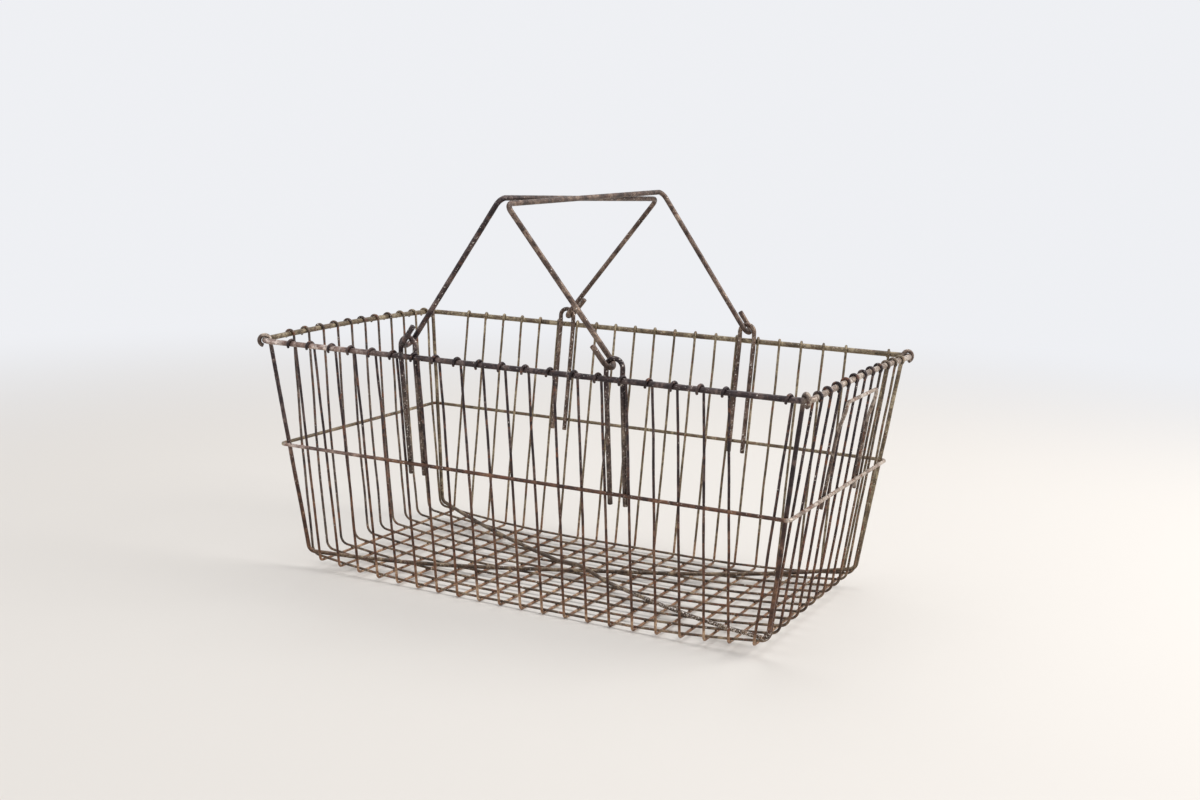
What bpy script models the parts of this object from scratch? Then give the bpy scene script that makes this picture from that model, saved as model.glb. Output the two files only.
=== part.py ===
"""Wire market basket with two folding wire handles.

Units are metres. X runs along the basket, Y from front to back, Z up.
The origin is on the table, under the middle of the floor.
"""

import math

import bpy
from mathutils import Vector

# Overall frame
RIM_LENGTH = 0.450
RIM_WIDTH = 0.235
RIM_HEIGHT = 0.186
RIM_CORNER_RADIUS = 0.010
BAND_HEIGHT = 0.1034
BAND_CORNER_RADIUS = 0.0045

# Floor
FLOOR_LENGTH = 0.392
FLOOR_WIDTH = 0.187
FLOOR_FLAT_LENGTH = 0.120
FLOOR_END_RISE = 0.009

# Wire diameters
RIM_WIRE = 0.0042
BAND_WIRE = 0.0028
RIB_WIRE = 0.0020
CORNER_WIRE = 0.0032
LOOP_WIRE = 0.0036
BRACKET_WIRE = 0.0027
HANDLE_WIRE = 0.0040

# Gap left where two wires touch
GAP = 0.0003

# Long ribs: down the front wall, under the floor, up the back wall
LONG_RIB_COUNT = 21
LONG_RIB_BEND_RADIUS = 0.003
FRONT_FLOOR_INSET_LEFT = 0.0100
FRONT_FLOOR_INSET_RIGHT = 0.0100
BACK_FLOOR_INSET_LEFT = 0.0125
BACK_FLOOR_INSET_RIGHT = 0.0095
FRONT_HOOK_INSET_LEFT = 0.0316
FRONT_HOOK_INSET_RIGHT = 0.0574
FRONT_LAST_HOOK_INSET = 0.0134
BACK_HOOK_INSET_LEFT = 0.0410
BACK_HOOK_INSET_RIGHT = 0.0537
BACK_LAST_HOOK_INSET = 0.0190

# Short ribs: down the left wall, over the long ribs, up the right wall
SHORT_RIB_COUNT = 11
SHORT_RIB_BEND_RADIUS = 0.008
LEFT_HOOK_INSET_FRONT = 0.0361
LEFT_HOOK_INSET_BACK = 0.0119
RIGHT_HOOK_INSET_FRONT = 0.0165
RIGHT_HOOK_INSET_BACK = 0.0335

# Hooks that close each rib round the rim
HOOK_SHIFT = 0.0028
HOOK_WRAP = math.radians(240)
HOOK_STEP = math.radians(40)

# Turn of the six-sided ribs about their length that lays a flat side on the table
RIB_ROLL = math.radians(7.7)

# Corner wires: from one rim corner across the floor to the opposite corner
CORNER_FOOT_LENGTH = 0.393
CORNER_FOOT_WIDTH = 0.190
CORNER_FOOT_RADIUS = 0.006
CROSSING_TOP_LENGTH = 0.012
CROSSING_RAMP_LENGTH = 0.030

# Handle loops: upside-down U wires between two ribs
LOOP_RIB_LEFT = 6
LOOP_RIB_RIGHT = 15
LOOP_ARCH_RISE = 0.0077
LOOP_SIDE_PLAY = 0.0001
LOOP_FOOT_SPREAD = 0.0119
LOOP_FOOT_DROP = 0.0084

# Handles
HANDLE_BAR_RISE = 0.1157
HANDLE_BAR_SKEW = 0.0087
HANDLE_BAR_TILT = 0.0029
HANDLE_CORNER_RADIUS = 0.008
HANDLE_HOOK_RADIUS = 0.006
HANDLE_HOOK_TAIL = 0.019
HANDLE_PLAY = 0.0004

# Bracket on the right wall
BRACKET_TOP = 0.1715
BRACKET_FOOT = 0.0940
BRACKET_JOG_START = 0.150
BRACKET_JOG_END = 0.165
BRACKET_CORNER_RADIUS = 0.0035
BRACKET_FRONT_RIB = 5
BRACKET_BACK_RIB = 8
BRACKET_FRONT_TOP_OFFSET = -0.0033
BRACKET_FRONT_FOOT_OFFSET = -0.0094
BRACKET_BACK_TOP_OFFSET = 0.0088
BRACKET_BACK_FOOT_OFFSET = 0.0096

# Colours
RIM_COLOUR = (0.115, 0.082, 0.062)
BAND_COLOUR = (0.130, 0.085, 0.065)
LONG_RIB_COLOUR = (0.085, 0.060, 0.050)
SHORT_RIB_COLOUR = (0.120, 0.088, 0.064)
CORNER_COLOUR = (0.110, 0.072, 0.058)
LOOP_COLOUR = (0.105, 0.085, 0.068)
BRACKET_COLOUR = (0.140, 0.100, 0.080)
HANDLE_COLOUR = (0.075, 0.060, 0.052)
STEEL_METALLIC = 0.75
STEEL_ROUGHNESS = 0.55

# Fineness of bends
BEND_STEP = math.radians(30)
LOOP_STEP = math.radians(30)
RIM_CORNER_STEPS = 6
BAND_CORNER_STEPS = 4
RISE_STEPS = 4
THIN_SIDES = 6
THICK_SIDES = 8


def spread(first, last, count):
    """Evenly spaced values from first to last."""
    return [first + (last - first) * n / (count - 1) for n in range(count)]


def rise(x):
    """Height of the dished floor above its flat middle."""
    flat = FLOOR_FLAT_LENGTH / 2
    beyond = max(0.0, abs(x) - flat) / (FLOOR_LENGTH / 2 - flat)
    return FLOOR_END_RISE * beyond**2


def rounded(corners, radii, step=BEND_STEP):
    """The path through corners, with each inner corner rounded by its radius."""
    path = [corners[0]]
    for before, corner, after, radius in zip(corners, corners[1:], corners[2:], radii):
        if radius == 0:
            path.append(corner)
            continue
        back = (before - corner).normalized()
        on = (after - corner).normalized()
        turn = math.pi - back.angle(on)
        reach = radius * math.tan(turn / 2)
        centre = corner + (back + on).normalized() * (radius / math.cos(turn / 2))
        first = corner + back * reach - centre
        last = corner + on * reach - centre
        count = max(1, math.ceil(turn / step - 1e-6))
        for n in range(count + 1):
            part = turn * n / count
            path.append(
                centre
                + (first * math.sin(turn - part) + last * math.sin(part))
                / math.sin(turn)
            )
    path.append(corners[-1])
    return path


def hoop(length, width, height, radius, steps):
    """A closed level rectangle with rounded corners."""
    path = []
    for quarter in range(4):
        angle = quarter * math.pi / 2
        x = (length / 2 - radius) * (1 if quarter in (0, 3) else -1)
        y = (width / 2 - radius) * (1 if quarter in (0, 1) else -1)
        centre = Vector((x, y, height))
        for n in range(steps + 1):
            turn = angle + math.pi / 2 * n / steps
            path.append(centre + radius * Vector((math.cos(turn), math.sin(turn), 0)))
    return path


def hook(rim_point, outward, along, wire):
    """A hook round the rim, from its free end under the rim to the inner side."""
    radius = (RIM_WIRE / 2 + GAP + wire / 2) / math.cos(HOOK_STEP / 2)
    count = round(HOOK_WRAP / HOOK_STEP)
    path = []
    for n in range(count, -1, -1):
        angle = HOOK_STEP * n
        shift = along * (0.5 - n / count)
        path.append(
            rim_point
            - outward * (radius * math.cos(angle))
            + Vector((0, 0, radius * math.sin(angle)))
            + shift
        )
    return path


def blend(low, high, z):
    """The point at height z on the line from low to high."""
    return low + (high - low) * ((z - low.z) / (high.z - low.z))


def add_wire(
    name, path, diameter, sides, colour, closed=False, origin=Vector((0, 0, 0)), roll=0.0
):
    """A wire along path as one closed body, with its object's origin at origin."""
    curve = bpy.data.curves.new(name, "CURVE")
    curve.dimensions = "3D"
    curve.bevel_depth = diameter / 2
    curve.bevel_resolution = (sides - 4) // 2
    curve.use_fill_caps = True
    spline = curve.splines.new("POLY")
    spline.points.add(len(path) - 1)
    for point, place in zip(spline.points, path):
        point.co = (*(place - origin), 1)
        point.tilt = roll
    spline.use_cyclic_u = closed
    material = bpy.data.materials.new(name + "_steel")
    material.use_nodes = True
    shader = material.node_tree.nodes["Principled BSDF"]
    shader.inputs["Base Color"].default_value = (*colour, 1)
    shader.inputs["Metallic"].default_value = STEEL_METALLIC
    shader.inputs["Roughness"].default_value = STEEL_ROUGHNESS
    curve.materials.append(material)
    wire = bpy.data.objects.new(name, curve)
    wire.location = origin
    basket.objects.link(wire)


# Clear the scene
for old in list(bpy.data.objects):
    bpy.data.objects.remove(old)
basket = bpy.data.collections.new("wire_market_basket")
bpy.context.scene.collection.children.link(basket)

# Half sizes and layers
rim_x = RIM_LENGTH / 2
rim_y = RIM_WIDTH / 2
rib_inset = RIM_WIRE / 2 + GAP + RIB_WIRE / 2
long_rib_height = RIB_WIRE / 2 * math.cos(math.pi / THIN_SIDES)
short_rib_height = long_rib_height + RIB_WIRE + GAP
corner_wire_height = short_rib_height + RIB_WIRE / 2 + GAP + CORNER_WIRE / 2
leg_top_x = rim_x - rib_inset
leg_top_y = rim_y - rib_inset
leg_foot_x = FLOOR_LENGTH / 2
leg_foot_z = short_rib_height + FLOOR_END_RISE
side_slope = (leg_top_x - leg_foot_x) / (RIM_HEIGHT - leg_foot_z)
wall_slope = (leg_top_y - FLOOR_WIDTH / 2) / (RIM_HEIGHT - long_rib_height)


def wall_y(z):
    """Distance of the front and back ribs from the middle at height z."""
    return FLOOR_WIDTH / 2 + wall_slope * (z - long_rib_height)


def side_x(z):
    """Distance of the left and right ribs from the middle at height z."""
    return leg_foot_x + side_slope * (z - leg_foot_z)


# Rim and band
add_wire(
    "rim_hoop",
    hoop(RIM_LENGTH, RIM_WIDTH, RIM_HEIGHT, RIM_CORNER_RADIUS, RIM_CORNER_STEPS),
    RIM_WIRE,
    THICK_SIDES,
    RIM_COLOUR,
    closed=True,
)
band_outset = RIB_WIRE / 2 + GAP + BAND_WIRE / 2
add_wire(
    "mid_band",
    hoop(
        2 * (side_x(BAND_HEIGHT) + band_outset),
        2 * (wall_y(BAND_HEIGHT) + band_outset),
        BAND_HEIGHT,
        BAND_CORNER_RADIUS,
        BAND_CORNER_STEPS,
    ),
    BAND_WIRE,
    THICK_SIDES,
    BAND_COLOUR,
    closed=True,
)

# Long ribs
front_hooks = spread(
    FRONT_HOOK_INSET_LEFT - rim_x, rim_x - FRONT_HOOK_INSET_RIGHT, LONG_RIB_COUNT - 1
) + [rim_x - FRONT_LAST_HOOK_INSET]
back_hooks = spread(
    BACK_HOOK_INSET_LEFT - rim_x, rim_x - BACK_HOOK_INSET_RIGHT, LONG_RIB_COUNT - 1
) + [rim_x - BACK_LAST_HOOK_INSET]
front_feet = spread(
    FRONT_FLOOR_INSET_LEFT - FLOOR_LENGTH / 2,
    FLOOR_LENGTH / 2 - FRONT_FLOOR_INSET_RIGHT,
    LONG_RIB_COUNT,
)
back_feet = spread(
    BACK_FLOOR_INSET_LEFT - FLOOR_LENGTH / 2,
    FLOOR_LENGTH / 2 - BACK_FLOOR_INSET_RIGHT,
    LONG_RIB_COUNT,
)


def long_rib_foot(number, side):
    """Bottom corner of a long rib; side is -1 at the front and 1 at the back."""
    x = (front_feet if side < 0 else back_feet)[number - 1]
    z = long_rib_height + rise(x)
    return Vector((x, side * wall_y(z), z))


def long_rib_top(number, side):
    """Where the leg of a long rib meets its hook."""
    x = (front_hooks if side < 0 else back_hooks)[number - 1]
    return Vector((x + HOOK_SHIFT / 2, side * leg_top_y, RIM_HEIGHT))


def long_rib_hook(number, side):
    x = (front_hooks if side < 0 else back_hooks)[number - 1]
    return hook(
        Vector((x, side * rim_y, RIM_HEIGHT)),
        Vector((0, side, 0)),
        Vector((HOOK_SHIFT, 0, 0)),
        RIB_WIRE,
    )


for number in range(1, LONG_RIB_COUNT + 1):
    front, back = long_rib_hook(number, -1), long_rib_hook(number, 1)
    below = rounded(
        [
            front[-1],
            long_rib_foot(number, -1),
            long_rib_foot(number, 1),
            back[-1],
        ],
        [LONG_RIB_BEND_RADIUS, LONG_RIB_BEND_RADIUS],
    )
    add_wire(
        f"long_rib_{number:02d}",
        front[:-1] + below + back[-2::-1],
        RIB_WIRE,
        THIN_SIDES,
        LONG_RIB_COLOUR,
        roll=RIB_ROLL,
    )

# Short ribs
left_hooks = spread(
    LEFT_HOOK_INSET_FRONT - rim_y, rim_y - LEFT_HOOK_INSET_BACK, SHORT_RIB_COUNT
)
right_hooks = spread(
    RIGHT_HOOK_INSET_FRONT - rim_y, rim_y - RIGHT_HOOK_INSET_BACK, SHORT_RIB_COUNT
)
long_bend_turn = math.pi / 2 - math.atan(wall_slope)
outer_short_rib = wall_y(long_rib_height) - LONG_RIB_BEND_RADIUS * math.tan(
    long_bend_turn / 2
)
short_rib_ys = spread(-outer_short_rib, outer_short_rib, SHORT_RIB_COUNT)
rise_places = spread(FLOOR_FLAT_LENGTH / 2, FLOOR_LENGTH / 2, RISE_STEPS + 1)[:-1]


def short_rib_hook(number, side):
    y = (left_hooks if side < 0 else right_hooks)[number - 1]
    return hook(
        Vector((side * rim_x, y, RIM_HEIGHT)),
        Vector((side, 0, 0)),
        Vector((0, HOOK_SHIFT, 0)),
        RIB_WIRE,
    )


def short_rib_leg_y(number, z):
    """Position of a right-hand leg along the wall at height z."""
    foot = Vector((leg_foot_x, short_rib_ys[number - 1], leg_foot_z))
    return blend(foot, short_rib_hook(number, 1)[-1], z).y


for number in range(1, SHORT_RIB_COUNT + 1):
    left, right = short_rib_hook(number, -1), short_rib_hook(number, 1)
    y = short_rib_ys[number - 1]
    floor_xs = [-x for x in reversed(rise_places)] + rise_places
    corners = (
        [left[-1], Vector((-leg_foot_x, y, leg_foot_z))]
        + [Vector((x, y, short_rib_height + rise(x))) for x in floor_xs]
        + [Vector((leg_foot_x, y, leg_foot_z)), right[-1]]
    )
    radii = [SHORT_RIB_BEND_RADIUS] + [0] * len(floor_xs) + [SHORT_RIB_BEND_RADIUS]
    add_wire(
        f"short_rib_{number:02d}",
        left[:-1] + rounded(corners, radii) + right[-2::-1],
        RIB_WIRE,
        THIN_SIDES,
        SHORT_RIB_COLOUR,
    )

# Corner wires: the second one steps over the first in the middle of the floor
corner_inset = RIM_CORNER_RADIUS * (1 - math.sqrt(0.5))
corner_foot_z = corner_wire_height + rise(CORNER_FOOT_LENGTH / 2)
step_over = CORNER_WIRE + GAP


def rim_corner_hook(right, back):
    """Hook at one rim corner; each argument is -1 or 1."""
    x, y = right * (rim_x - corner_inset), back * (rim_y - corner_inset)
    outward = Vector((right, back, 0)).normalized()
    return hook(Vector((x, y, RIM_HEIGHT)), outward, Vector((0, 0, 0)), CORNER_WIRE)


def add_corner_wire(name, back_side, over):
    """back_side is the side of Y on which the right-hand end lies."""
    left, right = rim_corner_hook(-1, -back_side), rim_corner_hook(1, back_side)
    slope = back_side * CORNER_FOOT_WIDTH / CORNER_FOOT_LENGTH
    half = [(x, 0.0) for x in rise_places]
    if over:
        half = [
            (CROSSING_TOP_LENGTH / 2, step_over),
            (CROSSING_RAMP_LENGTH, 0.0),
        ] + half
    floor = [(-x, lift) for x, lift in reversed(half)] + half
    foot = CORNER_FOOT_LENGTH / 2
    corners = (
        [left[-1], Vector((-foot, -foot * slope, corner_foot_z))]
        + [
            Vector((x, x * slope, corner_wire_height + rise(x) + lift))
            for x, lift in floor
        ]
        + [Vector((foot, foot * slope, corner_foot_z)), right[-1]]
    )
    radii = [CORNER_FOOT_RADIUS] + [0] * len(floor) + [CORNER_FOOT_RADIUS]
    add_wire(
        name,
        left[:-1] + rounded(corners, radii) + right[-2::-1],
        CORNER_WIRE,
        THICK_SIDES,
        CORNER_COLOUR,
    )


add_corner_wire("corner_wire_a", 1, False)
add_corner_wire("corner_wire_b", -1, True)

# Handle loops
loop_inset = RIM_WIRE / 2 + GAP + LOOP_WIRE / 2
loop_foot_z = BAND_HEIGHT - LOOP_FOOT_DROP
arch_z = RIM_HEIGHT + LOOP_ARCH_RISE


def loop_middle(first_rib, side, z):
    """Point midway between two neighbouring ribs at height z."""
    legs = [
        blend(long_rib_foot(number, side), long_rib_top(number, side), z)
        for number in (first_rib, first_rib + 1)
    ]
    return (legs[0] + legs[1]) / 2


def arch_radius(first_rib, side):
    ribs_apart = long_rib_top(first_rib + 1, side).x - long_rib_top(first_rib, side).x
    return ribs_apart / 2 - RIB_WIRE / 2 - GAP - LOOP_WIRE / 2 - LOOP_SIDE_PLAY


def add_loop(name, first_rib, side):
    half = arch_radius(first_rib, side)
    top = loop_middle(first_rib, side, RIM_HEIGHT)
    foot = loop_middle(first_rib, side, loop_foot_z)
    top.y = side * (rim_y - loop_inset)
    foot.y = top.y - side * wall_slope * (RIM_HEIGHT - loop_foot_z)
    centre = Vector((top.x, top.y, arch_z))
    count = round(math.pi / LOOP_STEP)
    arch = [
        centre + half * Vector((-math.cos(LOOP_STEP * n), 0, math.sin(LOOP_STEP * n)))
        for n in range(count + 1)
    ]
    across = Vector((1, 0, 0))
    path = (
        [foot - across * LOOP_FOOT_SPREAD / 2, top - across * half]
        + arch
        + [top + across * half, foot + across * LOOP_FOOT_SPREAD / 2]
    )
    add_wire(name, path, LOOP_WIRE, THICK_SIDES, LOOP_COLOUR)


add_loop("handle_loop_front_left", LOOP_RIB_LEFT, -1)
add_loop("handle_loop_back_left", LOOP_RIB_LEFT, 1)
add_loop("handle_loop_front_right", LOOP_RIB_RIGHT, -1)
add_loop("handle_loop_back_right", LOOP_RIB_RIGHT, 1)

# Handles, leaning together over the middle, each hook against one side of its loop
bar_offset = (HANDLE_WIRE + GAP) / 2
bar_z = RIM_HEIGHT + HANDLE_BAR_RISE


def handle_pivot(first_rib, side):
    """Bottom of the hook inside its loop; the front and back ones make the axis."""
    room = arch_radius(first_rib, side) - LOOP_WIRE / 2 - HANDLE_PLAY - HANDLE_WIRE / 2
    middle = loop_middle(first_rib, side, RIM_HEIGHT)
    return Vector((middle.x + side * room, side * (rim_y - loop_inset), arch_z))


def handle_end(pivot, corner, side):
    """Tail, hook and leg at one end, from the free tail to the bar corner."""
    inward = Vector((0, -side, 0))
    upward = (corner - pivot - inward * HANDLE_HOOK_RADIUS).normalized()
    centre = pivot + upward * HANDLE_HOOK_RADIUS
    tail = pivot + upward * HANDLE_HOOK_TAIL - inward * HANDLE_HOOK_RADIUS
    count = round(math.pi / LOOP_STEP)
    bend = [
        centre
        - HANDLE_HOOK_RADIUS
        * (inward * math.cos(LOOP_STEP * n) + upward * math.sin(LOOP_STEP * n))
        for n in range(count + 1)
    ]
    return [tail] + bend


def add_handle(name, first_rib, sign):
    """sign is -1 for the left handle and 1 for the right one."""
    ends = []
    corners = []
    for side in (-1, 1):
        corner = Vector(
            (
                sign * bar_offset + side * HANDLE_BAR_SKEW,
                side * (rim_y - loop_inset - HANDLE_HOOK_RADIUS),
                bar_z + sign * side * HANDLE_BAR_TILT,
            )
        )
        ends.append(handle_end(handle_pivot(first_rib, side), corner, side))
        corners.append(corner)
    bar = rounded(
        [ends[0][-1], *corners, ends[1][-1]],
        [HANDLE_CORNER_RADIUS, HANDLE_CORNER_RADIUS],
    )
    add_wire(
        name,
        ends[0][:-1] + bar + ends[1][-2::-1],
        HANDLE_WIRE,
        THICK_SIDES,
        HANDLE_COLOUR,
        origin=handle_pivot(first_rib, -1),
    )


add_handle("left_handle", LOOP_RIB_LEFT, -1)
add_handle("right_handle", LOOP_RIB_RIGHT, 1)

# Bracket: its legs stand between ribs, and its top bar lies outside them
leg_setback = RIB_WIRE / 2 - BRACKET_WIRE / 2
bar_outset = RIB_WIRE / 2 + GAP + BRACKET_WIRE / 2


def bracket_leg(rib, top_offset, foot_offset):
    """Foot, start and end of the jog, and top corner of one leg."""
    heights = [BRACKET_FOOT, BRACKET_JOG_START, BRACKET_JOG_END, BRACKET_TOP]
    outsets = [leg_setback, leg_setback, bar_outset, bar_outset]
    foot_y = short_rib_leg_y(rib, BRACKET_FOOT) + foot_offset
    top_y = short_rib_leg_y(rib, BRACKET_TOP) + top_offset
    points = []
    for z, outset in zip(heights, outsets):
        share = (z - BRACKET_FOOT) / (BRACKET_TOP - BRACKET_FOOT)
        y = foot_y + (top_y - foot_y) * share
        points.append(Vector((side_x(z) + outset, y, z)))
    return points


front_leg = bracket_leg(
    BRACKET_FRONT_RIB, BRACKET_FRONT_TOP_OFFSET, BRACKET_FRONT_FOOT_OFFSET
)
back_leg = bracket_leg(
    BRACKET_BACK_RIB, BRACKET_BACK_TOP_OFFSET, BRACKET_BACK_FOOT_OFFSET
)
add_wire(
    "end_bracket",
    rounded(
        front_leg + back_leg[::-1],
        [0, 0, BRACKET_CORNER_RADIUS, BRACKET_CORNER_RADIUS, 0, 0],
    ),
    BRACKET_WIRE,
    THICK_SIDES,
    BRACKET_COLOUR,
)
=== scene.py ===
"""Looks of the wire market basket: round, slightly hand-bent wires with an aged steel patina.

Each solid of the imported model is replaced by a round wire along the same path. Units are
metres. X runs along the basket, Y from front to back, Z up from the table.
"""

import math
import random

import bpy
import numpy as np
from mathutils import Matrix, Vector


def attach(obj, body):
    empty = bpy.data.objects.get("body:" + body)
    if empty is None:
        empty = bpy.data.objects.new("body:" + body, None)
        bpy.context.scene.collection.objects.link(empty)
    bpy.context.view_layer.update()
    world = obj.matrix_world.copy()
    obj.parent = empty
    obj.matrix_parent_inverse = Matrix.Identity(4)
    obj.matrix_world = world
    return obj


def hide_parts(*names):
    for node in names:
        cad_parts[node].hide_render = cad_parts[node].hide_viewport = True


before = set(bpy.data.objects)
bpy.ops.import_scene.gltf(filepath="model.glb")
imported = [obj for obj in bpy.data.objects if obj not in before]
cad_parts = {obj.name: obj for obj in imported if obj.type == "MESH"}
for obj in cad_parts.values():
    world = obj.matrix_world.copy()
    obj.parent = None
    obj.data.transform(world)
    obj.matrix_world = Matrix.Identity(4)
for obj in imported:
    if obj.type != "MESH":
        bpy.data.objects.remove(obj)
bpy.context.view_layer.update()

# Overall sizes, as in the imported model
RIM_LENGTH = 0.450
RIM_WIDTH = 0.235
RIM_HEIGHT = 0.186
RIM_CORNER_RADIUS = 0.010
BAND_HEIGHT = 0.1034
BAND_CORNER_RADIUS = 0.0045
FLOOR_LENGTH = 0.392
FLOOR_WIDTH = 0.187
FLOOR_FLAT_LENGTH = 0.120
FLOOR_END_RISE = 0.009

# Wire diameters
RIM_WIRE = 0.0042
BAND_WIRE = 0.0028
RIB_WIRE = 0.0020
CORNER_WIRE = 0.0032
LOOP_WIRE = 0.0036
BRACKET_WIRE = 0.0027
HANDLE_WIRE = 0.0040

# Clearances
GAP = 0.0003  # between two wires that touch
SEAT = 0.00004  # between a hook and the rim inside it
FLOOR_CLEARANCE = 0.00004  # under the lowest wires, for their unevenness
BAND_SINK = 0.0002  # taken off the band's gap, as it is welded on
BRACKET_SINK = 0.0001  # taken off the bracket's gap, as it is welded on

# Long ribs: down the front wall, under the floor, up the back wall
LONG_RIB_COUNT = 21
LONG_RIB_BEND_RADIUS = 0.003
FRONT_FLOOR_INSET = 0.0100
BACK_FLOOR_INSET_LEFT = 0.0125
BACK_FLOOR_INSET_RIGHT = 0.0095
FRONT_HOOK_INSET_LEFT = 0.0316
FRONT_HOOK_INSET_RIGHT = 0.0574
FRONT_LAST_HOOK_INSET = 0.0134
BACK_HOOK_INSET_LEFT = 0.0410
BACK_HOOK_INSET_RIGHT = 0.0537
BACK_LAST_HOOK_INSET = 0.0190

# Short ribs: down the left wall, over the long ribs, up the right wall
SHORT_RIB_COUNT = 11
SHORT_RIB_BEND_RADIUS = 0.008
LEFT_HOOK_INSET_FRONT = 0.0361
LEFT_HOOK_INSET_BACK = 0.0119
RIGHT_HOOK_INSET_FRONT = 0.0165
RIGHT_HOOK_INSET_BACK = 0.0335

# Hooks round the rim
HOOK_SHIFT = 0.0028
RIB_WRAPS = (226, 244)  # least and most turn of a rib's hook, in degrees
RIB_WRAP = math.radians(236)  # where only the inner end of a hook is wanted
LONG_WRAP_SEED = 100
SHORT_WRAP_SEED = 300
CORNER_WRAP = math.radians(252)
CORNER_HOOK_RADIUS = 0.0041  # wider than a rib's seat, as it sits on a rounded corner

# Corner wires: from one rim corner across the floor to the opposite corner
CORNER_FOOT_LENGTH = 0.393
CORNER_FOOT_WIDTH = 0.190
CORNER_FOOT_RADIUS = 0.006
CROSSING_TOP_LENGTH = 0.012
CROSSING_RAMP_LENGTH = 0.030

# Handle loops: upside-down U wires between two ribs
LOOP_RIB_LEFT = 6
LOOP_RIB_RIGHT = 15
LOOP_ARCH_RISE = 0.0077
LOOP_SIDE_PLAY = 0.0001
LOOP_FOOT_SPREAD = 0.0119
LOOP_FOOT_DROP = 0.0084

# Handles
HANDLE_BAR_RISE = 0.1154
HANDLE_BAR_SKEW = 0.0087
HANDLE_BAR_TILT = 0.0029
HANDLE_CORNER_RADIUS = 0.0065
HANDLE_HOOK_RADIUS = 0.006
HANDLE_HOOK_TAIL = 0.019
HANDLE_PLAY = 0.0004

# Bracket on the right wall
BRACKET_TOP = 0.1715
BRACKET_FOOT = 0.0940
BRACKET_JOG_START = 0.150
BRACKET_JOG_END = 0.165
BRACKET_JOG_RADIUS = 0.02
BRACKET_CORNER_RADIUS = 0.0035
BRACKET_FRONT_RIB = 5
BRACKET_BACK_RIB = 8
BRACKET_FRONT_TOP_OFFSET = -0.0033
BRACKET_FRONT_FOOT_OFFSET = -0.0094
BRACKET_BACK_TOP_OFFSET = 0.0088
BRACKET_BACK_FOOT_OFFSET = 0.0096

# Bends and slips by hand, which the solids leave out
END_BOW = 0.0022  # how far the short rim sides rise in the middle
LEFT_BULGE = 0.0018  # how far the left wall stands out at the band
LEFT_BULGE_RADIUS = 0.1
LEFT_CORNER_BEND = Vector((-0.0020, 0, 0))  # of the left handle's front corner
RIGHT_CORNER_BEND = Vector((-0.0018, 0, 0.0018))  # of the right handle's front corner
RIB_STRAY = 0.00035
CORNER_WIRE_STRAY = 0.0003
# how far each front hook was pushed along the rim, in millimetres
FRONT_SLIPS = (0, -0.9, 0.3, -0.5, -0.2, 0, 0, -0.2, -0.7, -0.9, -1.1, -0.8, 0.3,
               0.4, 0, 0, 0.8, 0.4, 0.6, -0.2, 0)

# Weld beads: radii along X, Y and Z
FLOOR_BEAD = (0.00095, 0.00095, 0.0011)
LONG_WALL_BEAD = (0.0011, 0.0012, 0.0011)
SHORT_WALL_BEAD = (0.0012, 0.0011, 0.0011)
LOOP_RIM_BEAD = (0.0019, 0.0022, 0.0018)
LOOP_BAND_BEAD = (0.0017, 0.0014, 0.0013)
BAND_BEAD_OUTSET = 0.0012
LOOP_RIM_BEAD_INSET = 0.0020
LOOP_RIM_BEAD_RISE = 0.0006
LOOP_BAND_BEAD_SPREAD = 0.0120
LOOP_BAND_BEAD_OUTSET = 0.0019
BEAD_UNEVENNESS = 0.18
BEAD_RINGS = 6
BEAD_SIDES = 8

# Fineness of bends and of wires as meshes
BEND_STEP = math.radians(9)
HOOK_STEP = math.radians(12)
HALF_TURN = [math.radians(angle) for angle in range(0, 181, 10)]
RIM_CORNER_STEPS = 12
BAND_CORNER_STEPS = 10
RISE_STEPS = 4
BOW_STEP = 0.01
RING_SPACING = 0.0035

# Half sizes and layers
rim_x = RIM_LENGTH / 2
rim_y = RIM_WIDTH / 2
rib_inset = RIM_WIRE / 2 + GAP + RIB_WIRE / 2
long_rib_height = RIB_WIRE / 2 + FLOOR_CLEARANCE
short_rib_height = long_rib_height + RIB_WIRE + GAP
corner_wire_height = short_rib_height + RIB_WIRE / 2 + GAP + CORNER_WIRE / 2
leg_foot_x = FLOOR_LENGTH / 2
leg_foot_z = short_rib_height + FLOOR_END_RISE
side_slope = (rim_x - rib_inset - leg_foot_x) / (RIM_HEIGHT - leg_foot_z)
wall_slope = (rim_y - rib_inset - FLOOR_WIDTH / 2) / (RIM_HEIGHT - long_rib_height)


def spread(first, last, count):
    """Evenly spaced values from first to last."""
    return [first + (last - first) * n / (count - 1) for n in range(count)]


def rise(x):
    """Height of the dished floor above its flat middle."""
    flat = FLOOR_FLAT_LENGTH / 2
    beyond = max(0.0, abs(x) - flat) / (FLOOR_LENGTH / 2 - flat)
    return FLOOR_END_RISE * beyond**2


def wall_y(z):
    """Distance of the front and back ribs from the middle at height z."""
    return FLOOR_WIDTH / 2 + wall_slope * (z - long_rib_height)


def side_x(z):
    """Distance of the left and right ribs from the middle at height z."""
    return leg_foot_x + side_slope * (z - leg_foot_z)


# Camera, fitted to the photograph
CAMERA_PLACE = (0.5239, -0.9763, 0.3503)
CAMERA_YAW = math.radians(27.59)
CAMERA_PITCH = math.radians(10.48)
CAMERA_ROLL = math.radians(1.39)
CAMERA_LENS = 43.19  # millimetres
SENSOR_WIDTH = 36  # millimetres
NEAR_CLIP = 0.02
FAR_CLIP = 50


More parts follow.
